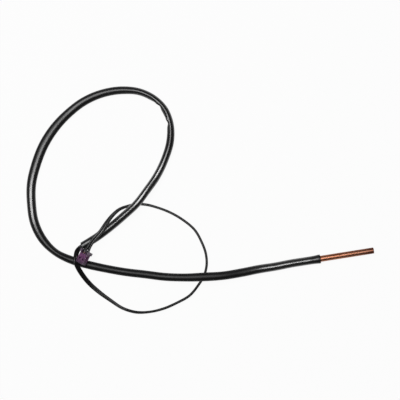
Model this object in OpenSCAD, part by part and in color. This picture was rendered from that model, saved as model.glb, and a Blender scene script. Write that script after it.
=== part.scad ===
// Pipe temperature sensor, in millimetres.
// A copper capsule holds a thermistor bead in epoxy. Its flat twin lead runs through
// a loose hose, comes out of the hose's cut end, and ends in a two-pole plug that
// lies on the hose. +X is the capsule's axis towards its closed end, +Z is up, and
// the origin is on that axis at the mouth of the hose.

/* [Capsule] */
// Outside diameter of the copper capsule
capsule_d = 5; // [4.9:0.1:8]
// Bare length of the capsule, from the hose's mouth to its closed end
capsule_l = 45; // [38:1:80]
// Thickness of the capsule's wall
capsule_wall = 0.3; // [0.2:0.05:0.35]
// Thickness of the closed end
end_wall = 1.2; // [0.8:0.1:3]
// Rounding of the closed end's edge
end_round = 0.6; // [0.2:0.1:1.5]
// How far the collar that grips the hose stands proud of the capsule
collar_proud = 0.2; // [0.2:0.05:0.4]
// Length of the collar inside the hose
collar_l = 8; // [5:0.5:10]

/* [Thermistor] */
// Diameter of the coated bead
bead_d = 2.4; // [2:0.1:3.2]
// Length of the coated bead
bead_l = 5; // [4.5:0.1:8]
// Epoxy between the bead and the closed end
bead_gap = 1.8; // [0.5:0.1:4]
// Width and length of the ceramic chip
chip_w = 1; // [0.8:0.1:1.4]
// Thickness of the ceramic chip
chip_t = 0.5; // [0.3:0.1:0.6]
// Diameter of a leg's wire
leg_d = 0.4; // [0.25:0.05:0.5]
// Outside diameter of the tubing on a leg
leg_tube_d = 0.9; // [0.8:0.05:1.3]
// Run over which a leg bends in from its splice to the chip
leg_bend_l = 3; // [2:0.5:6]

/* [Lead] */
// Diameter of one core over its insulation
core_d = 2.1; // [1.6:0.05:2.1]
// Diameter of a core's bare strands
strand_d = 0.9; // [0.6:0.05:1]
// How far the lead's insulation reaches into the bare stretch of the capsule
lead_in = 6; // [2:0.5:8]
// Bare length of the strands in the capsule
strip_l = 5; // [3:0.5:6]
// Outside diameter of a splice
splice_d = 1.5; // [1.3:0.05:1.6]
// Length of a splice
splice_l = 6; // [4:0.5:8]
// Length over which the two cores are torn apart behind the plug
split_l = 6; // [5:0.5:12]

/* [Hose] */
// Bore of the relaxed hose
hose_bore = 5; // [4.9:0.1:8]
// Wall thickness of the hose
hose_wall = 1; // [0.7:0.1:1.3]
// Length over which the hose narrows behind the capsule's collar
hose_neck_l = 4; // [2:0.5:8]

/* [Plug] */
// Length of the plug's housing
plug_l = 11.6; // [10.5:0.1:16]
// Thickness of the wall between the two cavities
web_w = 0.4; // [0.3:0.05:1.5]
// Thickness of the outer side walls
side_wall = 0.8; // [0.6:0.1:1.5]
// Thickness of the top and bottom walls
flat_wall = 1.3; // [0.8:0.1:2]
// Thickness of the wall at the mating face
front_wall = 1; // [0.6:0.1:1.5]
// Rounding of the housing's long edges
plug_round = 0.5; // [0.2:0.1:0.7]
// How far each rear grip wing stands out
wing_proud = 1.4; // [0.5:0.1:2.5]
// Length of a rear grip wing
wing_l = 2.4; // [1.5:0.1:3]
// Height of the guide ribs over the housing's faces
rib_h = 0.4; // [0.2:0.05:0.8]
// Width of the guide ribs
rib_w = 0.8; // [0.4:0.1:1]
// Length over which the top is open above the crimps
open_l = 3; // [2:0.1:4]
// Width of a lance's window
window_w = 1; // [0.8:0.1:1.6]
// Length of a lance's window
window_l = 1.8; // [1.4:0.1:2.4]
// Width of a mating hole
pin_hole_w = 1.2; // [0.8:0.1:1.4]
// Depth of the wider mouth of a mating hole
pin_mouth = 0.4; // [0.2:0.05:0.5]

/* [Terminals] */
// Thickness of the terminals' sheet metal
sheet_t = 0.2; // [0.15:0.05:0.25]
// Width of a terminal's box
box_w = 2; // [1.9:0.05:2.2]
// Length of a terminal's box
box_l = 4.6; // [4:0.1:5]
// Length of an insulation crimp
grip_l = 1.2; // [0.8:0.1:1.4]
// Length of a strand crimp
crimp_l = 1.5; // [1:0.1:1.7]

/* [Clearances] */
// Gap between the collar and the stretched hose
grip_gap = 0.05; // [0.02:0.01:0.1]
// Gap between a terminal and its cavity
cavity_gap = 0.1; // [0.05:0.05:0.2]
// Gap between a wire and what is crimped or slipped over it
wire_gap = 0.02; // [0.01:0.01:0.04]
// Gap where one cord lies over another, and under the plug
cross_gap = 0.1; // [0.05:0.05:0.3]

/* [Hidden] */

$fn = 48;
LEFT = 1;
RIGHT = -1;
cut = 0.01;

capsule_r = capsule_d / 2;
bore_r = capsule_r - capsule_wall;
collar_r = capsule_r + collar_proud;
cavity_end = capsule_l - end_wall;

core_r = core_d / 2;
strand_r = strand_d / 2;
bead_r = bead_d / 2;

hose_r = hose_bore / 2 + hose_wall;
mouth_bore_r = collar_r + grip_gap;
mouth_r = mouth_bore_r + hose_wall;
// The stretched mouth of the hose lies on the surface, so it sets the surface's height
floor_z = -mouth_r;
hose_z = floor_z + hose_r;

// Stations along the capsule
strands_end = lead_in + strip_l;
splice_from = lead_in + strip_l / 3;
splice_to = splice_from + splice_l;
bead_to = cavity_end - bead_gap;
bead_from = bead_to - bead_l;
chip_x = bead_to - bead_l / 2;
leg_in_y = chip_t / 2 + leg_d / 2;
leg_bend_from = bead_from - leg_bend_l;
leg_tube_to = leg_bend_from - leg_d;

// Heights that a crossing needs: over lifts a lead onto a hose, hump a hose onto a
// lead that stands on its edge
over = 2 * hose_r + cross_gap;
hump = 2 * core_d + cross_gap;

// Plug: its own axis points from the wires to the mating face, and it leans to its
// left, with the edge of a lower rib on the hose
plug_at = [-190.3, 37.1];
plug_angle = -127;
plug_lean = 25;
cavity_w = core_d + 2 * sheet_t + 2 * cavity_gap;
lance_room = 0.3;
cavity_h = cavity_w + lance_room;
pole_pitch = cavity_w + web_w;
plug_w = pole_pitch + cavity_w + 2 * side_wall;
plug_t = cavity_h + 2 * flat_wall;
plug_z = floor_z + 2 * hose_r + cross_gap + (plug_t / 2 + rib_h) * cos(plug_lean)
    + (plug_w / 2 - plug_round) * sin(plug_lean);

// Stations along the plug, from its wire end
grip_from = 0.4;
core_in = grip_from + grip_l - cavity_gap;
crimp_from = 2.4;
box_to = plug_l - front_wall - cavity_gap;
box_from = box_to - box_l;
window_from = box_from + 0.9;

// Route of the hose: each point is [x, y, share of the hump under it]
HOSE_ROUTE = [
    [-24, 0, 0], [-38, -0.5, 0], [-52, -0.5, 0.06], [-66, -1, 0.35], [-82, -1, 0.8],
    [-98, 0.5, 1], [-114, 2.5, 0.8], [-130, 5.5, 0.35], [-146, 10, 0.06],
    [-162, 14.5, 0], [-178, 20, 0], [-192, 25.5, 0], [-205, 31.5, 0], [-217, 40, 0],
    [-225.5, 51.5, 0], [-230.5, 67, 0], [-230.5, 83, 0], [-228, 99, 0],
    [-221.5, 115, 0], [-213, 129.5, 0], [-202, 142, 0], [-188.5, 152.5, 0],
    [-173.5, 160.5, 0], [-157.5, 164.5, 0], [-141, 164.5, 0], [-126, 160.5, 0],
    [-115.5, 153, 0], [-108.5, 143, 0], [-106, 131, 0], [-108, 117, 0.02],
    [-115, 102, 0.1], [-124, 89, 0.35], [-134, 78.5, 0.8], [-144, 69, 1],
    [-156, 61, 0.75], [-168.5, 53.5, 0.3], [-181, 47, 0.05], [-194, 41.5, 0]
];

// Route of the lead outside the hose: each point is
// [x, y, height of its underside above the surface, roll of its flat side]
LEAD_ROUTE = [
    [-198.5, 38.5, 3.8, 0], [-200.2, 34.5, 6.3, -30], [-201.2, 31, over, -60],
    [-201.2, 28, over, -55], [-200, 24, 6, -20], [-197.5, 17.5, 3.4, 10],
    [-193, 9.5, 1, 25], [-186.5, 1.5, 0, 40], [-178, -7, 0, 60], [-169, -15, 0, 70],
    [-158.5, -20, 0, 75], [-147, -21.5, 0, 85], [-135, -20.5, 0, 90],
    [-123.5, -17.5, 0, 90], [-112, -13, 0, 90], [-104, -6, 0, 90],
    [-98, 1, 0, 90], [-94.5, 9, 0, 90], [-93.5, 19, 0, 90], [-95.5, 29.5, 0, 90],
    [-99.5, 40, 0, 90], [-107, 49, 0, 90], [-116.5, 57, 0, 90],
    [-127.5, 63.5, 0, 90], [-137, 67.5, 0, 85], [-144.5, 69, 0, 85],
    [-151.5, 68.5, 0.2, 80], [-158.5, 67, 1.6, 70], [-165, 63, 3.5, 55],
    [-171, 57.3, 6.5, 35], [-176.5, 51.3, 8.6, 28], [-181.2, 47.3, 9.5, 25]
];
// The last points lie on the plug's axis, this far behind it
LEAD_END = [split_l + core_d, split_l];

// Outlines of the swept cords
HOSE_SIDES = 12;
CORE_SIDES = 8;
LOBE_STEP = 50;

function circle_outline(r, sides) =
    [for (i = [0:sides - 1]) r * [cos(i * 360 / sides), sin(i * 360 / sides)]];

// A polygon whose flats, and not its corners, are r from the middle
function bore_outline(r, sides) = circle_outline(r / cos(180 / sides), sides);

// The twin lead's figure of eight, six corners to a lobe
function lead_outline() = [
    for (side = [0, 180], i = [0:5])
        let (a = side + (i - 2.5) * LOBE_STEP)
            core_r * [cos(side) + cos(a), sin(a)]
];

function unit(v) = v / norm(v);
function last(list) = list[len(list) - 1];

// Direction of a path at one of its points, halfway between its two neighbours
function heading(path, i) =
    i == 0 ? unit(path[1] - path[0]) :
    i == len(path) - 1 ? unit(path[i] - path[i - 1]) :
    unit(unit(path[i + 1] - path[i]) + unit(path[i] - path[i - 1]));

// An outline set square across a path, with its first axis level at no roll
function ring(at, dir, outline, roll = 0) =
    let (level = unit(cross([0, 0, 1], dir)), up = cross(dir, level))
        [for (q = outline)
            at + (q.x * cos(roll) - q.y * sin(roll)) * level
               + (q.x * sin(roll) + q.y * cos(roll)) * up];

function joined(lists) = [for (list = lists, item = list) item];

// Triangles of the skin between successive rings of n corners, from corner first on
function skin(count, n, first, out) = [
    for (i = [0:count - 2], j = [0:n - 1])
        let (
            a = first + i * n + j,
            b = first + i * n + (j + 1) % n,
            c = b + n,
            d = a + n
        )
            each out ? [[a, b, c], [a, c, d]] : [[a, c, b], [a, d, c]]
];

module solid_sweep(rings) {
    n = len(rings[0]);
    count = len(rings);
    polyhedron(
        points = joined(rings),
        faces = concat(
            skin(count, n, 0, false),
            [[for (j = [0:n - 1]) j], [for (j = [n - 1:-1:0]) (count - 1) * n + j]]
        )
    );
}

// A tube: the inner rings have as many corners as the outer ones
module tube_sweep(outer, inner) {
    n = len(outer[0]);
    count = len(outer);
    inside = count * n;
    far = (count - 1) * n;
    polyhedron(
        points = concat(joined(outer), joined(inner)),
        faces = concat(
            skin(count, n, 0, false),
            skin(count, n, inside, true),
            [for (j = [0:n - 1]) let (k = (j + 1) % n)
                each [[j, k, inside + k], [j, inside + k, inside + j]]],
            [for (j = [0:n - 1]) let (k = (j + 1) % n)
                each [[far + j, inside + far + k, far + k],
                      [far + j, inside + far + j, inside + far + k]]]
        )
    );
}

// The hose: straight over the collar, then along its route
HOSE_START = [[0, 0, 0], [-collar_l - grip_gap, 0, 0], [-collar_l - hose_neck_l, 0, hose_z]];
HOSE_PATH = concat(
    HOSE_START,
    [for (p = HOSE_ROUTE) [p.x, p.y, hose_z + p.z * hump]]
);
function stretched(i) = i < 2;
function hose_outer_r(i) = stretched(i) ? mouth_r : hose_r;
function hose_inner_r(i) = stretched(i) ? mouth_bore_r : hose_bore / 2;

// A place on the plug's axis, or y to one side of it
function plug_point(x, y = 0) = let (level = y * cos(plug_lean)) [
    plug_at.x + x * cos(plug_angle) - level * sin(plug_angle),
    plug_at.y + x * sin(plug_angle) + level * cos(plug_angle),
    plug_z + y * sin(plug_lean)
];

// Height of the lead's middle over its underside
function half_height(roll) = core_r * (1 + abs(sin(roll)));

// In the hose the lead turns onto its edge and back again over a few points
TURN_POINTS = 4;
HIDDEN = [for (i = [1:len(HOSE_PATH) - 1]) HOSE_PATH[i]];
function hidden_roll(i) =
    90 * max(0, min(1, (i - 1) / TURN_POINTS, (len(HIDDEN) - 1 - i) / TURN_POINTS));
LEAD_PATH = concat(
    [[lead_in, 0, 0]],
    HIDDEN,
    [for (p = LEAD_ROUTE) [p.x, p.y, floor_z + p.z + half_height(p[3])]],
    [for (away = LEAD_END) plug_point(-away)]
);
LEAD_ROLL = concat(
    [0],
    [for (i = [0:len(HIDDEN) - 1]) hidden_roll(i)],
    [for (p = LEAD_ROUTE) p[3]],
    [for (away = LEAD_END) plug_lean]
);

// A round bar along X
module bar(from, to, d) {
    translate([from, 0, 0]) rotate([0, 90, 0]) cylinder(h = to - from, d = d);
}

// A ring of metal or tubing along X
module bush(from, to, d, bore_d) {
    difference() {
        bar(from, to, d);
        bar(from - cut, to + cut, bore_d);
    }
}

// Draws its children at one core of the lead in the capsule
module at_core(side) {
    translate([0, side * core_r, 0]) children();
}

module probe_sheath() {
    color("chocolate")
        rotate([0, 90, 0])
            rotate_extrude()
                difference() {
                    sheath_outline();
                    translate([0, -collar_l - cut])
                        square([bore_r, collar_l + cut + cavity_end]);
                }
}

// Half of the capsule's outside: the collar's step, the wall and the rounded end
module sheath_outline() {
    step = collar_proud;
    translate([0, -collar_l]) square([collar_r, collar_l - step]);
    polygon([[0, -step - cut], [collar_r, -step - cut], [collar_r, -step], [capsule_r, 0],
             [0, 0]]);
    translate([0, -cut]) square([capsule_r, capsule_l - end_round + cut]);
    square([capsule_r - end_round, capsule_l]);
    intersection() {
        translate([capsule_r - end_round, capsule_l - end_round]) circle(end_round);
        square([capsule_r, capsule_l]);
    }
}

// The epoxy fills the capsule round everything in it
module potting() {
    color("darkslategray")
        difference() {
            bar(-collar_l, cavity_end, 2 * bore_r);
            translate([-collar_l - cut, 0, 0])
                rotate([90, 0, 90])
                    linear_extrude(lead_in + collar_l + cut) polygon(lead_outline());
            bead();
            for (side = [LEFT, RIGHT]) {
                at_core(side) bar(lead_in - cut, splice_from + cut, strand_d);
                at_core(side) bar(splice_from, splice_to, splice_d);
                at_core(side) bar(splice_to - cut, leg_tube_to, leg_tube_d);
                leg(side);
            }
        }
}

// The bead's drop: a round nose, and a tail that tapers to the legs
module bead() {
    tail_r = leg_in_y + leg_d;
    nose_r = 0.85 * bead_r;
    rotate([0, 90, 0])
        rotate_extrude()
            translate([0, bead_to]) {
                intersection() {
                    translate([bead_r - nose_r, -nose_r]) circle(nose_r);
                    translate([0, -nose_r]) square([bead_r, nose_r]);
                }
                polygon([[0, 0], [0, -bead_l], [tail_r, -bead_l], [bead_r, -nose_r],
                         [bead_r - nose_r, 0]]);
            }
}

module thermistor_coating() {
    color("black")
        difference() {
            bead();
            chip();
            for (side = [LEFT, RIGHT]) leg(side);
        }
}

module chip() {
    translate([chip_x, 0, 0]) cube([chip_w, chip_t, chip_w], center = true);
}

module thermistor_chip() {
    color("dimgray") chip();
}

// A leg comes straight out of its splice and bends in to its face of the chip
module leg(side) {
    outer = side * core_r;
    inner = side * leg_in_y;
    path = [
        [splice_to - splice_l / 3, outer, 0], [leg_bend_from, outer, 0],
        [bead_from, inner, 0], [chip_x + chip_w / 2, inner, 0]
    ];
    solid_sweep(
        [for (i = [0:len(path) - 1])
            ring(path[i], heading(path, i), circle_outline(leg_d / 2, CORE_SIDES))]
    );
}

module thermistor_leg_a() {
    color("silver") leg(LEFT);
}

module thermistor_leg_b() {
    color("silver") leg(RIGHT);
}

module leg_tube(side) {
    color("ivory")
        at_core(side) bush(splice_to, leg_tube_to, leg_tube_d, leg_d + 2 * wire_gap);
}

module leg_tube_a() {
    leg_tube(LEFT);
}

module leg_tube_b() {
    leg_tube(RIGHT);
}

// A splice is a short barrel, pinched once over the strands and once over the leg
module splice(side) {
    pinch_l = splice_l / 5;
    pinch_d = (splice_d + strand_d) / 2 + wire_gap;
    color("lightgray")
        at_core(side)
            difference() {
                bush(splice_from, splice_to, splice_d, strand_d + 2 * wire_gap);
                for (x = [splice_from + pinch_l, splice_to - 2 * pinch_l])
                    bush(x, x + pinch_l, splice_d + 1, pinch_d);
            }
}

module splice_a() {
    splice(LEFT);
}

module splice_b() {
    splice(RIGHT);
}

module probe_strands(side) {
    reach = min(strands_end, splice_to - splice_l / 3 - wire_gap);
    color("peru") at_core(side) bar(lead_in, reach, strand_d);
}

module probe_strands_a() {
    probe_strands(LEFT);
}

module probe_strands_b() {
    probe_strands(RIGHT);
}

module hose() {
    color([0.1, 0.1, 0.11])
        tube_sweep(
            [for (i = [0:len(HOSE_PATH) - 1])
                ring(HOSE_PATH[i], heading(HOSE_PATH, i),
                     circle_outline(hose_outer_r(i), HOSE_SIDES))],
            [for (i = [0:len(HOSE_PATH) - 1])
                ring(HOSE_PATH[i], heading(HOSE_PATH, i),
                     bore_outline(hose_inner_r(i), HOSE_SIDES))]
        );
}

module twin_lead() {
    color([0.12, 0.12, 0.13])
        solid_sweep(
            [for (i = [0:len(LEAD_PATH) - 1])
                ring(LEAD_PATH[i], heading(LEAD_PATH, i), lead_outline(), LEAD_ROLL[i])]
        );
}

// Behind the plug the lead is torn into its two cores, which spread to the poles
module split_core(side) {
    near = side * core_r;
    away = side * pole_pitch / 2;
    path = [
        plug_point(-split_l, near), plug_point(-split_l / 2, near),
        plug_point(-split_l / 4, (near + away) / 2), plug_point(0, away),
        plug_point(core_in, away)
    ];
    color([0.12, 0.12, 0.13])
        solid_sweep(
            [for (i = [0:len(path) - 1])
                ring(path[i], heading(path, i), circle_outline(core_r, CORE_SIDES))]
        );
}

module split_core_a() {
    split_core(RIGHT);
}

module split_core_b() {
    split_core(LEFT);
}

// Draws its children in the plug's own frame
module at_plug() {
    translate(plug_point(0)) rotate([plug_lean, 0, plug_angle]) children();
}

// Draws its children at one pole of the plug
module at_pole(side) {
    at_plug() translate([0, side * pole_pitch / 2, 0]) children();
}

module plug_strands(side) {
    color("peru") at_pole(side) bar(core_in, crimp_from + crimp_l - 2 * sheet_t, strand_d);
}

module plug_strands_a() {
    plug_strands(RIGHT);
}

module plug_strands_b() {
    plug_strands(LEFT);
}

// Extrudes an outline in the plug's XZ plane, centred across it
module across(width) {
    translate([0, width / 2, 0]) rotate([90, 0, 0]) linear_extrude(width) children();
}

// A crimp's wings roll over the wire and meet in a notch on top
module crimp(from, length, wire_d) {
    notch = wire_d / 2 + sheet_t;
    difference() {
        bush(from, from + length, wire_d + 2 * sheet_t, wire_d + 2 * wire_gap);
        translate([from - cut, 0, 0])
            rotate([90, 0, 90])
                linear_extrude(length + 2 * cut)
                    polygon([[0, wire_d / 2 - sheet_t], [notch / 3, notch + cut],
                             [-notch / 3, notch + cut]]);
    }
}

// A terminal, from its wire: insulation crimp, strand crimp, neck and box
module terminal(side) {
    grip_to = grip_from + grip_l;
    crimp_to = crimp_from + crimp_l;
    neck_from = crimp_to - sheet_t;
    grip_floor = -core_r - wire_gap;
    crimp_floor = -strand_r - wire_gap;
    box_floor = sheet_t - box_w / 2;
    lance_tip = cavity_h / 2 + flat_wall / 2;
    lance_foot = (box_w - sheet_t) / 2;
    color("gainsboro")
        at_pole(side) {
            crimp(grip_from, grip_l, core_d);
            crimp(crimp_from, crimp_l, strand_d);
            // strip from the insulation crimp's floor to the strand crimp's
            sheet(strand_d, [grip_to - cut, grip_floor], [crimp_from + cut, crimp_floor]);
            // neck: a floor and two low walls, from the strand crimp to the box
            sheet(strand_d, [neck_from, crimp_floor + cut], [box_from + cut, box_floor - cut]);
            for (wall = [-1, 1])
                translate([0, wall * strand_d / 2, 0])
                    across(sheet_t)
                        polygon([
                            [neck_from, crimp_floor - sheet_t / 2], [neck_from, -strand_r / 3],
                            [box_from + cut, box_w / 4], [box_from + cut, box_floor - sheet_t / 2]
                        ]);
            terminal_box();
            // lance that catches behind the window's rear edge
            sheet(window_w - 2 * cavity_gap, [window_from + cavity_gap, lance_tip],
                  [window_from + window_l, lance_foot + sheet_t / 4]);
        }
}

// A strip of sheet metal across the terminal; both points are on its upper face
module sheet(width, from, to) {
    across(width) polygon([from, to, to - [0, sheet_t], from - [0, sheet_t]]);
}

// The box that takes the mating pin, with a spring leaf on its floor
module terminal_box() {
    inside = box_w - 2 * sheet_t;
    leaf_l = box_l - 2 * sheet_t;
    translate([box_from, 0, 0])
        rotate([90, 0, 90])
            linear_extrude(box_l)
                difference() {
                    square(box_w, center = true);
                    square(inside, center = true);
                }
    across(inside / 2)
        translate([box_from + sheet_t, -box_w / 2 + sheet_t / 2])
            polygon([
                [0, 0], [0, sheet_t], [leaf_l / 2, inside / 3], [leaf_l, sheet_t], [leaf_l, 0],
                [leaf_l / 2, inside / 3 - sheet_t]
            ]);
}

module terminal_a() {
    terminal(RIGHT);
}

module terminal_b() {
    terminal(LEFT);
}

module rounded_rect(width, height, r) {
    square([width - 2 * r, height], center = true);
    square([width, height - 2 * r], center = true);
    for (sx = [-1, 1], sy = [-1, 1])
        translate([sx * (width / 2 - r), sy * (height / 2 - r)]) circle(r);
}

// Extrudes an outline in the plug's YZ plane, from one station along it to another
module along(from, to) {
    translate([from, 0, 0]) rotate([90, 0, 90]) linear_extrude(to - from) children();
}

// The housing: a rounded block with grip wings at the wires, where its top is open
// over the crimps, ribs that guide and key it, a cavity for each terminal, a window
// for its lance and a hole for its pin
module connector_housing() {
    color([0.42, 0.22, 0.42])
        at_plug()
            difference() {
                union() {
                    along(0, plug_l) rounded_rect(plug_w, plug_t, plug_round);
                    along(0, wing_l)
                        rounded_rect(plug_w + 2 * wing_proud, plug_t - 2 * rib_h, plug_round);
                    guide_ribs();
                }
                for (side = [LEFT, RIGHT])
                    translate([0, side * pole_pitch / 2, 0]) cavity();
                along(-cut, open_l)
                    translate([-(pole_pitch + cavity_w) / 2, 0])
                        square([pole_pitch + cavity_w, plug_t]);
            }
}

// Two ribs below, which the plug rests on, two above, and one on each side
module guide_ribs() {
    low_key = -plug_t / 4;
    high_key = plug_t / 5;
    rib_x = plug_w / 2 - plug_round - rib_w / 2;
    for (s = [-1, 1]) {
        translate([0, s * rib_x, 0])
            along(wing_l / 2, plug_l)
                translate([-rib_w / 2, -plug_t / 2 - rib_h]) square([rib_w, plug_t + 2 * rib_h]);
        along(wing_l, plug_l)
            translate([s * (plug_w / 2 + rib_h / 2), s > 0 ? low_key : high_key])
                square([rib_h + cut, rib_w], center = true);
    }
}

module cavity() {
    along(-cut, plug_l - front_wall) square([cavity_w, cavity_h], center = true);
    along(plug_l - front_wall - cut, plug_l + cut) square(pin_hole_w, center = true);
    along(plug_l - pin_mouth, plug_l + cut) square(pin_hole_w + 2 * pin_mouth, center = true);
    translate([window_from, -window_w / 2, 0]) cube([window_l, window_w, plug_t]);
}

probe_sheath();
potting();
thermistor_coating();
thermistor_chip();
thermistor_leg_a();
thermistor_leg_b();
leg_tube_a();
leg_tube_b();
splice_a();
splice_b();
probe_strands_a();
probe_strands_b();
hose();
twin_lead();
split_core_a();
split_core_b();
plug_strands_a();
plug_strands_b();
terminal_a();
terminal_b();
connector_housing();
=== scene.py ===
"""Looks for a pipe temperature sensor: its loose hose, twin lead and plug, and the finish of every part."""

import math

import bpy
import numpy as np
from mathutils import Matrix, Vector


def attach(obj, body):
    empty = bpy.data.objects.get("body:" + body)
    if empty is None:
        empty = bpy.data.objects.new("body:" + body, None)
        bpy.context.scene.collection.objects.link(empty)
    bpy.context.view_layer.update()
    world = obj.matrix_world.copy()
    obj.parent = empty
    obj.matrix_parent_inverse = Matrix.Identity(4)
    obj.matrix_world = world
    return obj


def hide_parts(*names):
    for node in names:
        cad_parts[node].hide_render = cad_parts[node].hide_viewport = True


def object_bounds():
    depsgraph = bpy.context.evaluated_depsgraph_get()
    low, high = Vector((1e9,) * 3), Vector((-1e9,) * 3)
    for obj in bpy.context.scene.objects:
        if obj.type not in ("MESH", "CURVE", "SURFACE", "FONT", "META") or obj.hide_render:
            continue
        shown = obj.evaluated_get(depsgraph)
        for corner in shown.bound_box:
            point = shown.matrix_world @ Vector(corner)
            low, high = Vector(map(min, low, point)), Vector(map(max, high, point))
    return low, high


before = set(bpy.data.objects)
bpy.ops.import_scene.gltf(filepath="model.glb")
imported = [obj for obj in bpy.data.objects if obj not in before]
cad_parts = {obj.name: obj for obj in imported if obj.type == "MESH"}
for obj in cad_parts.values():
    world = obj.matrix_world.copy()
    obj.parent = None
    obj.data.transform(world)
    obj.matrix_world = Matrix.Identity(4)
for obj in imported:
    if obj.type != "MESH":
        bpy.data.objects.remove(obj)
cad_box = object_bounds()

MM = 0.001
FLOOR = cad_box[0].z

# Sizes that the source of the solids also holds, in metres
CORE_R = 1.05 * MM
HOSE_R = 3.5 * MM
HOSE_WALL = 1.0 * MM
LEAD_IN = 6 * MM
CROSS_GAP = 0.1 * MM
OVER = 2 * HOSE_R + CROSS_GAP
HUMP = 4 * CORE_R + CROSS_GAP
# The collar in the hose's mouth, with the hose's gap to it
COLLAR_L = 8.05 * MM
COLLAR_BORE_R = 2.75 * MM
# The capsule from the hose's mouth to the rounded edge of its closed end
CAPSULE_L = 44.4 * MM

# The plug: its wire end, the way it points, its lean to the left, and its poles
PLUG_HIGH = 11.35 * MM
PLUG_AT = Vector((-0.1903, 0.0371, FLOOR + PLUG_HIGH))
PLUG_ANGLE = math.radians(-127)
PLUG_LEAN = 25
PLUG_L = 11.6 * MM
POLE_PITCH = 3.1 * MM
SPLIT_L = 6 * MM
CORE_IN = 1.5 * MM

# Route of the hose: x, y, share of the hump under it, width seen from above
HOSE_ROUTE = [
    (-0.024, 0, 0, 0.0069), (-0.038, -0.0005, 0, 0.007), (-0.052, -0.0005, 0.06, 0.0072),
    (-0.066, -0.001, 0.35, 0.0072), (-0.082, -0.001, 0.8, 0.0071), (-0.098, 0.0005, 1, 0.0073),
    (-0.114, 0.0025, 0.8, 0.0067), (-0.13, 0.0055, 0.35, 0.0067), (-0.146, 0.01, 0.06, 0.0067),
    (-0.162, 0.0145, 0, 0.0067), (-0.178, 0.02, 0, 0.0067), (-0.192, 0.0255, 0, 0.0069),
    (-0.205, 0.0315, 0, 0.0067), (-0.217, 0.04, 0, 0.0059), (-0.2255, 0.0515, 0, 0.007),
    (-0.2305, 0.067, 0, 0.0076), (-0.2305, 0.083, 0, 0.0077), (-0.228, 0.099, 0, 0.0079),
    (-0.2215, 0.115, 0, 0.0081), (-0.213, 0.1295, 0, 0.0082), (-0.202, 0.142, 0, 0.008),
    (-0.1885, 0.1525, 0, 0.0075), (-0.1735, 0.1605, 0, 0.0072), (-0.1575, 0.1645, 0, 0.0068),
    (-0.141, 0.1645, 0, 0.0065), (-0.126, 0.1605, 0, 0.0058), (-0.1155, 0.153, 0, 0.0057),
    (-0.1085, 0.143, 0, 0.0057), (-0.106, 0.131, 0, 0.0059), (-0.108, 0.117, 0.02, 0.0064),
    (-0.115, 0.102, 0.1, 0.0064), (-0.124, 0.089, 0.35, 0.0066), (-0.134, 0.0785, 0.8, 0.0065),
    (-0.144, 0.069, 1, 0.0065), (-0.156, 0.061, 0.75, 0.0066), (-0.1685, 0.0535, 0.3, 0.0067),
    (-0.181, 0.047, 0.05, 0.0067), (-0.194, 0.0415, 0, 0.0067),
]
# The two notches of the kink, on the loop's inner side: x, y, easing in before, springing back after
NOTCHES = [(-0.1112, 0.1477, 0.0065, 0.003), (-0.1061, 0.132, 0.0044, 0.0028)]

# Route of the lead outside the hose: x, y, height of its underside over the floor, roll
LEAD_ROUTE = [
    (-0.1985, 0.0385, 0.0038, 0), (-0.2002, 0.0345, 0.0063, -30), (-0.2012, 0.031, OVER, -60),
    (-0.2012, 0.028, OVER, -55), (-0.2, 0.024, 0.006, -20), (-0.1975, 0.0175, 0.0034, 10),
    (-0.193, 0.0095, 0.001, 25), (-0.1865, 0.0015, 0, 40), (-0.178, -0.007, 0, 60),
    (-0.169, -0.015, 0, 70), (-0.1585, -0.02, 0, 75), (-0.147, -0.0215, 0, 85),
    (-0.135, -0.0205, 0, 90), (-0.1235, -0.0175, 0, 90), (-0.112, -0.013, 0, 90),
    (-0.104, -0.006, 0, 90), (-0.098, 0.001, 0, 90), (-0.0945, 0.009, 0, 90),
    (-0.0935, 0.019, 0, 90), (-0.0955, 0.0295, 0, 90), (-0.0995, 0.04, 0, 90),
    (-0.107, 0.049, 0, 90), (-0.1165, 0.057, 0, 90), (-0.1275, 0.0635, 0, 90),
    (-0.137, 0.0675, 0, 85), (-0.1445, 0.069, 0, 85), (-0.1515, 0.0685, 0.0002, 80),
    (-0.1585, 0.067, 0.0016, 70), (-0.165, 0.063, 0.0035, 55), (-0.171, 0.0573, 0.0065, 35),
    (-0.1765, 0.0513, 0.0086, 28), (-0.1812, 0.0473, 0.0095, 25),
]
# Its last points lie on the plug's axis, this far behind it
LEAD_END = [SPLIT_L + 2 * CORE_R, SPLIT_L]


# Camera: straight above, as the photograph looks down

# The photograph's width, in metres, at the height of the hose's middle
PHOTO_SPAN = 0.3332
CAMERA_AT = (-0.0913, 0.0641)
CAMERA_TURN = math.radians(-9)
LENS = 135
SENSOR = 36


def make_camera():
    data = bpy.data.cameras.new("camera")
    data.lens = LENS
    data.sensor_width = SENSOR
    data.clip_start = 0.01
    data.clip_end = 100
    camera = bpy.data.objects.new("camera", data)
    bpy.context.scene.collection.objects.link(camera)
    camera.location = (*CAMERA_AT, FLOOR + HOSE_R + PHOTO_SPAN * LENS / SENSOR)
    camera.rotation_euler = (0, 0, CAMERA_TURN)
    bpy.context.scene.camera = camera


# Curves and swept meshes


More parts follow.
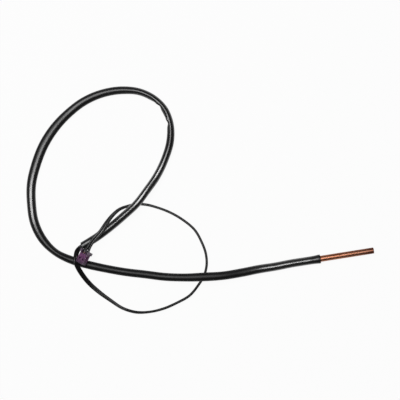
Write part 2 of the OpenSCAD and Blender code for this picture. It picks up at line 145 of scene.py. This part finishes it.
def smooth(points, step, plan=3):
    """Points about step apart on a curve through the given ones. Its first plan columns are their place."""
    p = np.array(points, float)
    chord = np.linalg.norm(np.diff(p[:, :plan], axis=0), axis=1)
    at = np.concatenate([[0], np.cumsum(chord)])
    rate = np.diff(p, axis=0) / chord[:, None]
    slope = np.concatenate([rate[:1], rate[:1].repeat(len(p) - 2, 0), rate[-1:]])
    before, after = chord[:-1, None], chord[1:, None]
    slope[1:-1] = (rate[:-1] * after + rate[1:] * before) / (before + after)
    t = np.linspace(0, at[-1], max(2, round(at[-1] / step) + 1))
    i = np.clip(np.searchsorted(at, t, side="right") - 1, 0, len(p) - 2)
    h = chord[i][:, None]
    x = (t - at[i])[:, None] / h
    return (
        p[i] * (2 * x**3 - 3 * x**2 + 1)
        + slope[i] * h * (x**3 - 2 * x**2 + x)
        + p[i + 1] * (3 * x**2 - 2 * x**3)
        + slope[i + 1] * h * (x**3 - x**2)
    )


def run_of(centre):
    """Distance along a line of points, at each of them."""
    return np.concatenate([[0], np.cumsum(np.linalg.norm(np.diff(centre, axis=0), axis=1))])


def axes_of(centre):
    """At each point of a path: the level direction to its left, and the direction square to both."""
    way = np.gradient(centre, axis=0)
    way /= np.linalg.norm(way, axis=1)[:, None]
    level = np.cross([0, 0, 1], way)
    level /= np.linalg.norm(level, axis=1)[:, None]
    return level, np.cross(way, level)


def rings(centre, across, upward):
    """Rings of points: across and upward hold each ring's outline in its own plane."""
    level, up = axes_of(centre)
    return (
        centre[:, None]
        + across[:, :, None] * level[:, None]
        + upward[:, :, None] * up[:, None]
    )


def rolled(outline, roll):
    """An outline turned by each of the rolls, in degrees, as across and upward arrays."""
    turn = np.radians(roll)[:, None]
    x, y = outline[:, 0], outline[:, 1]
    return x * np.cos(turn) - y * np.sin(turn), x * np.sin(turn) + y * np.cos(turn)


def side_uv(start, end, j, n):
    """UV corners of a four-sided face at side j of n: distances along the sweep, shares of the way round."""
    return [(start, j / n), (start, (j + 1) / n), (end, (j + 1) / n), (end, j / n)]


def swept(name, outer, run, inner=None, sharp=50):
    """A closed mesh through rings, hollow if inner rings are given, with its UV map along and round it."""
    count, n = outer.shape[:2]
    shells = [outer] if inner is None else [outer, inner]
    faces, uvs = [], []

    def add(corners, places, way):
        faces.append(corners[::way])
        uvs.extend(places[::way])

    for s in range(len(shells)):
        for i in range(count - 1):
            here = (s * count + i) * n
            there = here + n
            for j in range(n):
                k = (j + 1) % n
                corners = [here + j, here + k, there + k, there + j]
                add(corners, side_uv(run[i], run[i + 1], j, n), -1 if s else 1)
    for i, way in ((0, -1), (count - 1, 1)):
        here = i * n
        if inner is None:
            add([here + j for j in range(n)], [(run[i], j / n) for j in range(n)], way)
            continue
        inside = (count + i) * n
        for j in range(n):
            k = (j + 1) % n
            corners = [here + j, here + k, inside + k, inside + j]
            add(corners, side_uv(run[i], run[i], j, n), way)

    points = np.concatenate([shell.reshape(-1, 3) for shell in shells])
    mesh = bpy.data.meshes.new(name)
    mesh.from_pydata(points.tolist(), [], faces)
    layer = mesh.uv_layers.new(name="run")
    layer.uv.foreach_set("vector", np.array(uvs, np.float32).ravel())
    mesh.shade_smooth()
    mesh.set_sharp_from_angle(angle=math.radians(sharp))
    piece = bpy.data.objects.new(name, mesh)
    bpy.context.scene.collection.objects.link(piece)
    return piece


# Hose

HOSE_SIDES = 36
HOSE_STEP = 1.2 * MM
# The hose keeps this root mean square of half its width and half its height, and so its girth
GIRTH_R = 3.42 * MM
# The mouth, stretched over the capsule's collar, in millimetres: x, gap under it, radius
MOUTH = [
    (0, 0.1, 3.65), (-0.25, 0.05, 3.7), (-3, 0.2, 3.55),
    (-6, 0.35, 3.4), (-8.05, 0.37, 3.38), (-12, 0.15, 3.4),
]
# The bore stays as wide as over the collar until this far behind it
COLLAR_PAST = 2 * MM
# Room that a flattened or notched bore leaves the lead on its edge, twice as much at a notch
LEAD_PLAY = 0.15 * MM
# A notch's depth, and how fast it fades round the hose
NOTCH_DEEP = 1.35 * MM
NOTCH_FADE = 1.5
# The ear that buckles up on the hose's inner upper side before each notch
EAR_HIGH = 1.1 * MM
EAR_BEFORE = 2.3 * MM
EAR_L = 2.6 * MM
EAR_TURN = math.radians(140)
EAR_WIDE = math.radians(22)


def hose_controls():
    """The hose's route as x, y, height of its middle, half its width, half its height."""
    mouth = [
        (x * MM, 0, FLOOR + (gap + r) * MM, r * MM, r * MM)
        for x, gap, r in MOUTH
    ]
    route = []
    for x, y, share, width in HOSE_ROUTE:
        half_w = width / 2
        half_h = math.sqrt(2 * GIRTH_R**2 - half_w**2)
        route.append((x, y, FLOOR + share * HUMP + half_h, half_w, half_h))
    return mouth + route


def kink(centre, run, turn):
    """How far the kink pushes the hose's skin sideways at its notches, and outwards in its ears."""
    dent = np.zeros((len(run), 1))
    ear = np.zeros((len(run), 1))
    for x, y, before, after in NOTCHES:
        away = run - run[np.argmin(np.hypot(centre[:, 0] - x, centre[:, 1] - y))]
        reach = np.where(away < 0, before, after)
        dent[:, 0] += NOTCH_DEEP * np.exp(-((away / reach) ** 2))
        ear[:, 0] += EAR_HIGH * np.exp(-(((away + EAR_BEFORE) / EAR_L) ** 2))
    side = np.clip(-np.cos(turn), 0, None) ** NOTCH_FADE
    ridge = np.exp(-(((turn - EAR_TURN) / EAR_WIDE) ** 2))
    return dent * side, ear * ridge


def make_hose():
    line = smooth(hose_controls(), HOSE_STEP, plan=2)
    centre, half_w, half_h = line[:, :3], line[:, 3:4], line[:, 4:5]
    run = run_of(centre)
    turn = np.linspace(0, 2 * np.pi, HOSE_SIDES, endpoint=False)[None]
    dent, ear = kink(centre, run, turn)
    bore_w, bore_h = half_w - HOSE_WALL, half_h - HOSE_WALL
    # The lead inside stands on its edge, and keeps the bore from closing on it
    bore_h = np.maximum(bore_h, 2 * CORE_R + LEAD_PLAY)
    bore_dent = np.minimum(dent, bore_w - CORE_R - 2 * LEAD_PLAY)
    gripped = run < COLLAR_L + COLLAR_PAST
    bore_w[gripped] = np.maximum(bore_w[gripped], COLLAR_BORE_R)
    bore_h[gripped] = np.maximum(bore_h[gripped], COLLAR_BORE_R)
    outer = rings(centre, (half_w + ear) * np.cos(turn) + dent, (half_h + ear) * np.sin(turn))
    inner = rings(centre, (bore_w + ear) * np.cos(turn) + bore_dent, (bore_h + ear) * np.sin(turn))
    hose = swept("hose_tube", outer, run, inner)
    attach(hose, "root")
    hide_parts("hose")
    return hose


# Lead

LEAD_STEP = 1.5 * MM
# In the hose the lead follows this many of the mouth's points, and turns over this many
HIDDEN_MOUTH = 2
HIDDEN_TURN = 4
# Corners of one lobe of its outline, spread this many degrees to each side
LOBE_CORNERS = 15
LOBE_SPREAD = 150
# A torn core: its sides, its step, how much thinner its skin is, and the seam of the web, in radians wide
TORN_SIDES = 24
TORN_STEP = 0.5 * MM
TORN_THINNER = 0.02 * MM
SEAM_HIGH = 0.12 * MM
SEAM_WIDE = 0.25


def plug_point(x, y=0):
    """A place on the plug's axis, which runs from its wires to its mating face, or y to one side of it."""
    c, s = math.cos(PLUG_ANGLE), math.sin(PLUG_ANGLE)
    lean = math.radians(PLUG_LEAN)
    level = y * math.cos(lean)
    return (PLUG_AT.x + x * c - level * s, PLUG_AT.y + x * s + level * c, PLUG_AT.z + y * math.sin(lean))


def lead_controls():
    """The lead's route, inside the capsule and hose and then outside: x, y, height of its middle, roll."""
    hidden = [p[:3] for p in hose_controls()[len(MOUTH) - HIDDEN_MOUTH:]]
    last = len(hidden) - 1
    points = [(LEAD_IN, 0, 0, 0)]
    for i, p in enumerate(hidden):
        share = max(0, min(1, (i - 1) / HIDDEN_TURN, (last - i) / HIDDEN_TURN))
        points.append((*p, 90 * share))
    for x, y, lift, roll in LEAD_ROUTE:
        half = CORE_R * (1 + abs(math.sin(math.radians(roll))))
        points.append((x, y, FLOOR + lift + half, roll))
    return points + [(*plug_point(-away), PLUG_LEAN) for away in LEAD_END]


def lead_outline():
    """A figure of eight: two round cores joined by a web."""
    corners = []
    for side in (0, math.pi):
        for a in np.radians(np.linspace(-LOBE_SPREAD, LOBE_SPREAD, LOBE_CORNERS)):
            corners.append((CORE_R * (math.cos(side) + math.cos(side + a)), CORE_R * math.sin(side + a)))
    return np.array(corners)


def make_lead():
    line = smooth(lead_controls(), LEAD_STEP)
    centre = line[:, :3]
    run = run_of(centre)
    lead = swept("lead_cord", rings(centre, *rolled(lead_outline(), line[:, 3])), run, sharp=40)
    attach(lead, "root")
    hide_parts("twin_lead")
    return lead, centre, run


def make_split_core(name, node, side):
    """One core of the lead, torn from the other behind the plug, with what the web left on it."""
    near, away = side * CORE_R, side * POLE_PITCH / 2
    stops = [
        (-SPLIT_L, near), (-SPLIT_L / 2, near), (-SPLIT_L / 4, (near + away) / 2),
        (0, away), (CORE_IN, away),
    ]
    centre = smooth([plug_point(x, y) for x, y in stops], TORN_STEP)
    turn = np.linspace(0, 2 * np.pi, TORN_SIDES, endpoint=False)
    inward = math.pi if side > 0 else 0
    off_seam = np.angle(np.exp(1j * (turn - inward)))
    seam = SEAM_HIGH * np.exp(-((off_seam / SEAM_WIDE) ** 2))
    radius = (CORE_R - TORN_THINNER + seam)[None].repeat(len(centre), 0)
    skin = rings(centre, radius * np.cos(turn), radius * np.sin(turn))
    piece = swept(name, skin, run_of(centre), sharp=40)
    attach(piece, "root")
    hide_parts(node)
    return piece


# Materials


class Nodes:
    """A material's node tree, with one Principled shader."""

    def __init__(self, name, **settings):
        self.material = bpy.data.materials.new(name)
        self.material.use_nodes = True
        self.tree = self.material.node_tree
        self.shader = self.tree.nodes["Principled BSDF"]
        for socket, value in settings.items():
            self.shader.inputs[socket.replace("_", " ")].default_value = value

    def node(self, kind, **inputs):
        made = self.tree.nodes.new("ShaderNode" + kind)
        for socket, value in inputs.items():
            self.set(made.inputs[socket.replace("_", " ")], value)
        return made

    def set(self, socket, value):
        if isinstance(value, bpy.types.NodeSocket):
            self.tree.links.new(value, socket)
        else:
            socket.default_value = value

    def place(self, *scale):
        """Coordinates in metres, stretched."""
        where = self.node("TexCoord").outputs["Object"]
        return self.node("Mapping", Vector=where, Scale=scale).outputs[0]

    def along(self, *scale):
        """Coordinates of a swept piece: distance along it, share of the way round."""
        where = self.node("UVMap")
        where.uv_map = "run"
        return self.node("Mapping", Vector=where.outputs[0], Scale=scale).outputs[0]

    def first(self, where):
        """The first of a place's three coordinates."""
        return self.node("SeparateXYZ", Vector=where).outputs["X"]

    def noise(self, where, detail=4, roughness=0.55):
        made = self.node("TexNoise", Vector=where, Scale=1, Detail=detail, Roughness=roughness)
        return made.outputs["Fac"]

    def ramp(self, fac, *stops):
        """A colour or grey ramp: each stop is (place, colour) or (place, grey)."""
        made = self.node("ValToRGB", Fac=fac)
        elements = made.color_ramp.elements
        elements.remove(elements[1])
        elements[0].position = stops[0][0]
        for at, _ in stops[1:]:
            elements.new(at)
        for element, (_, colour) in zip(elements, stops):
            element.color = (*colour, 1) if isinstance(colour, tuple) else (colour, colour, colour, 1)
        return made.outputs["Color"]

    def mix(self, fac, a, b):
        """A mix of two linked colours."""
        made = self.node("Mix")
        made.data_type = "RGBA"
        for socket, value in zip((made.inputs[0], made.inputs[6], made.inputs[7]), (fac, a, b)):
            self.set(socket, value)
        return made.outputs[2]

    def math(self, kind, a, b):
        made = self.node("Math")
        made.operation = kind
        self.set(made.inputs[0], a)
        self.set(made.inputs[1], b)
        return made.outputs[0]

    def colour(self, value):
        self.set(self.shader.inputs["Base Color"], value)

    def rough(self, value):
        self.set(self.shader.inputs["Roughness"], value)

    def coat(self, value):
        self.set(self.shader.inputs["Coat Weight"], value)

    def bump(self, height, distance, strength):
        made = self.node("Bump", Height=height, Distance=distance, Strength=strength)
        self.set(self.shader.inputs["Normal"], made.outputs[0])


# How much of its gloss the hose's skin has kept along its run: metres, share
HOSE_GLOSS = [
    (0.0, 0.2), (0.005, 0.3), (0.01, 0.8), (0.018, 1), (0.046, 1), (0.054, 0.65), (0.062, 0.3),
    (0.078, 0), (0.2, 0), (0.24, 0.05), (0.252, 0.23), (0.263, 0.85), (0.283, 0.85), (0.292, 0.5),
    (0.31, 0.26), (0.345, 0.23), (0.38, 0.12), (0.41, 0.15), (0.425, 0.4), (0.462, 0.35),
    (0.475, 0.15), (0.488, 0.4), (0.5, 0.9), (0.545, 0.9), (0.565, 0.8), (0.577, 0.35),
]
# The same for the lead, which is dull on the lower half of its loop and shines on its way to the plug
LEAD_GLOSS = [
    (0.64, 0.15), (0.655, 0.1), (0.668, 0.25), (0.678, 0), (0.75, 0), (0.78, 0.18),
    (0.862, 0.15), (0.872, 0.6), (0.884, 0.6), (0.893, 0.15),
]


def hose_pvc():
    m = Nodes("hose_pvc", IOR=1.33, Coat_IOR=1.8, Coat_Roughness=0.2)
    dust = m.noise(m.along(160, 5, 1), detail=6)
    m.colour(m.ramp(dust, (0.35, (0.0015, 0.0015, 0.0016)), (0.75, (0.006, 0.006, 0.0065))))
    m.rough(m.ramp(m.noise(m.along(45, 3, 1), detail=5), (0.3, 0.36), (0.7, 0.48)))
    worn = m.ramp(dust, (0.3, 1.0), (0.8, 0.8))
    m.coat(m.math("MULTIPLY", m.ramp(m.first(m.along(1, 1, 1)), *HOSE_GLOSS), worn))
    m.bump(m.noise(m.place(1400, 1400, 1400), detail=3), 0.01 * MM, 0.4)
    return m.material


def lead_pvc():
    m = Nodes("lead_pvc", IOR=1.2, Coat_IOR=2.0, Coat_Roughness=0.28)
    m.coat(m.ramp(m.first(m.along(1, 1, 1)), *LEAD_GLOSS))
    dust = m.noise(m.place(300, 300, 300), detail=6)
    m.colour(m.ramp(dust, (0.35, (0.002, 0.002, 0.0022)), (0.75, (0.007, 0.007, 0.0076))))
    m.rough(m.ramp(m.noise(m.place(90, 90, 90)), (0.3, 0.22), (0.7, 0.36)))
    m.bump(m.noise(m.place(1800, 1800, 1800), detail=3), 0.02 * MM, 0.5)
    return m.material


def copper():
    """Bright, drawn copper that browns towards the closed end."""
    m = Nodes("copper", Metallic=1.0, Specular_Tint=(0.2, 0.05, 0.015, 1))
    blotch = m.noise(m.place(45, 180, 180), detail=5, roughness=0.5)
    bright = m.ramp(
        blotch, (0.3, (0.27, 0.09, 0.043)), (0.5, (0.43, 0.18, 0.107)), (0.72, (0.64, 0.34, 0.22))
    )
    brown = m.ramp(blotch, (0.35, (0.07, 0.017, 0.008)), (0.65, (0.24, 0.095, 0.06)))
    toward_tip = m.first(m.place(1 / CAPSULE_L, 1, 1))
    m.colour(m.mix(m.ramp(toward_tip, (0.35, 0.05), (0.95, 0.95)), bright, brown))
    drawn = m.noise(m.place(30, 2200, 2200), detail=3)
    m.rough(m.ramp(drawn, (0.3, 0.3), (0.7, 0.4)))
    m.bump(drawn, 0.01 * MM, 0.2)
    return m.material


def violet_plastic():
    """Violet plastic, greyer at the plug's wire end and darker at its mating end: dust with painted shade.
    """
    m = Nodes("violet_plastic", IOR=1.5)
    cloud = m.noise(m.place(500, 500, 500), detail=5)
    clean = m.ramp(cloud, (0.3, (0.05, 0.015, 0.05)), (0.7, (0.17, 0.05, 0.15)))
    # Turned and moved so that the first coordinate goes from 0 to 1 along the plug
    scale = 1 / PLUG_L
    start = (PLUG_AT.x * math.cos(PLUG_ANGLE) + PLUG_AT.y * math.sin(PLUG_ANGLE)) * scale
    turned = m.node(
        "Mapping", Vector=m.place(scale, scale, scale), Rotation=(0, 0, -PLUG_ANGLE),
        Location=(-start, 0, 0),
    )
    forward = m.first(turned.outputs[0])
    # Painted shade with some dust: this greys the wire end and darkens the mating end
    dust = m.ramp(forward, (0.3, (0.08, 0.07, 0.09)), (0.6, (0.04, 0.025, 0.045)))
    m.colour(m.mix(m.ramp(forward, (0.1, 0.8), (0.35, 0.0), (0.5, 0.0), (0.95, 0.75)), clean, dust))
    m.rough(m.ramp(cloud, (0.3, 0.3), (0.7, 0.45)))
    m.bump(m.noise(m.place(2500, 2500, 2500)), 0.01 * MM, 0.4)
    return m.material


def plain(name, dark, light, rough, scale, metallic):
    """A finish with a fine mottle, for the small parts inside."""
    m = Nodes(name, Metallic=metallic)
    grain = m.noise(m.place(scale, scale, scale), detail=5)
    m.colour(m.ramp(grain, (0.3, dark), (0.7, light)))
    m.rough(m.ramp(grain, (0.3, rough * 0.8), (0.7, rough * 1.2)))
    m.bump(grain, 0.02 * MM, 0.4)
    return m.material


# Finishes of the small parts: name, dark, light, roughness, fineness, share of metal, nodes
SMALL_PARTS = [
    ("tinned_brass", (0.08, 0.08, 0.085), (0.2, 0.2, 0.2), 0.5, 900, 1.0,
     ["terminal_a", "terminal_b", "splice_a", "splice_b"]),
    ("bare_strands", (0.14, 0.06, 0.035), (0.32, 0.15, 0.09), 0.5, 1500, 1.0,
     ["plug_strands_a", "plug_strands_b", "probe_strands_a", "probe_strands_b"]),
    ("epoxy", (0.012, 0.013, 0.015), (0.03, 0.03, 0.035), 0.25, 600, 0.0, ["potting"]),
    ("bead_coating", (0.01, 0.01, 0.01), (0.02, 0.02, 0.02), 0.2, 900, 0.0, ["thermistor_coating"]),
    ("chip_ceramic", (0.06, 0.06, 0.06), (0.12, 0.12, 0.12), 0.6, 2500, 0.0, ["thermistor_chip"]),
    ("tinned_wire", (0.5, 0.5, 0.48), (0.75, 0.75, 0.72), 0.35, 1500, 1.0,
     ["thermistor_leg_a", "thermistor_leg_b"]),
    ("leg_tubing", (0.6, 0.55, 0.4), (0.75, 0.7, 0.55), 0.4, 900, 0.0, ["leg_tube_a", "leg_tube_b"]),
]


def dress(nodes_or_pieces, material):
    for one in nodes_or_pieces:
        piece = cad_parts[one] if isinstance(one, str) else one
        piece.data.materials.clear()
        piece.data.materials.append(material)


def soften(node, width):
    """Rounds the edges of a moulded part a little."""
    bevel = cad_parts[node].modifiers.new("edges", "BEVEL")
    bevel.width = width
    bevel.segments = 2
    bevel.limit_method = "ANGLE"
    bevel.angle_limit = math.radians(40)
    bevel.use_clamp_overlap = True


# Stage

# Half the floor's width, and how far it lies under the solids
FLOOR_HALF = 20
FLOOR_GAP = 0.02 * MM
FLOOR_GREY = 0.6
# How much of what the camera sees of the floor is plain white; the rest keeps the shadow
FLOOR_WHITE = 0.94
WORLD_LIGHT = 0.08
WHITE = (1, 1, 1, 1)
# What the lamps look at
PART_MIDDLE = Vector((-0.09, 0.06, 0))


def floor_finish():
    """White to the camera, to reflections and through clear things, and a lit grey to all other light."""
    m = Nodes("floor")
    m.tree.nodes.remove(m.shader)
    path = m.node("LightPath").outputs
    seen = m.math("MAXIMUM", path["Is Camera Ray"], path["Is Glossy Ray"])
    seen = m.math("MAXIMUM", seen, path["Is Transmission Ray"])
    mix = m.node("MixShader")
    m.set(mix.inputs[0], m.math("MULTIPLY", seen, FLOOR_WHITE))
    m.set(mix.inputs[1], m.node("BsdfDiffuse", Color=(FLOOR_GREY, FLOOR_GREY, FLOOR_GREY, 1)).outputs[0])
    m.set(mix.inputs[2], m.node("Emission", Color=WHITE, Strength=1.0).outputs[0])
    m.set(m.tree.nodes["Material Output"].inputs["Surface"], mix.outputs[0])
    return m.material


def make_floor():
    mesh = bpy.data.meshes.new("floor")
    corners = [(x * FLOOR_HALF, y * FLOOR_HALF, 0) for x, y in ((-1, -1), (1, -1), (1, 1), (-1, 1))]
    mesh.from_pydata(corners, [], [(0, 1, 2, 3)])
    mesh.materials.append(floor_finish())
    floor = bpy.data.objects.new("floor", mesh)
    bpy.context.scene.collection.objects.link(floor)
    floor.location = (0, 0, FLOOR - FLOOR_GAP)


def lamp(name, place, size, watts, size_y=None):
    """A soft lamp that looks at the middle of the part: a square, or size by size_y."""
    data = bpy.data.lights.new(name, "AREA")
    data.shape = "RECTANGLE" if size_y else "SQUARE"
    data.size = size
    if size_y:
        data.size_y = size_y
    data.energy = watts
    made = bpy.data.objects.new(name, data)
    bpy.context.scene.collection.objects.link(made)
    made.location = place
    made.rotation_euler = (PART_MIDDLE - Vector(place)).to_track_quat("-Z", "Y").to_euler()


def make_lights():
    lamp("key", place=(-0.33, 0.48, 1.53), size=0.45, watts=22, size_y=1.3)
    lamp("side", place=(-0.69, 0.14, 1.45), size=0.28, watts=4)
    world = bpy.data.worlds.new("world")
    bpy.context.scene.world = world
    world.use_nodes = True
    background = world.node_tree.nodes["Background"]
    background.inputs["Color"].default_value = WHITE
    background.inputs["Strength"].default_value = WORLD_LIGHT


# The whole scene

make_camera()
hose = make_hose()
lead, lead_centre, lead_run = make_lead()
cores = [
    make_split_core("core_tail_a", "split_core_a", -1),
    make_split_core("core_tail_b", "split_core_b", 1),
]

dress([hose], hose_pvc())
dress([lead, *cores], lead_pvc())
dress(["probe_sheath"], copper())
dress(["connector_housing"], violet_plastic())
for *finish, nodes in SMALL_PARTS:
    dress(nodes, plain(*finish))
soften("connector_housing", 0.12 * MM)

make_floor()
make_lights()
bpy.context.scene.view_settings.view_transform = "Standard"
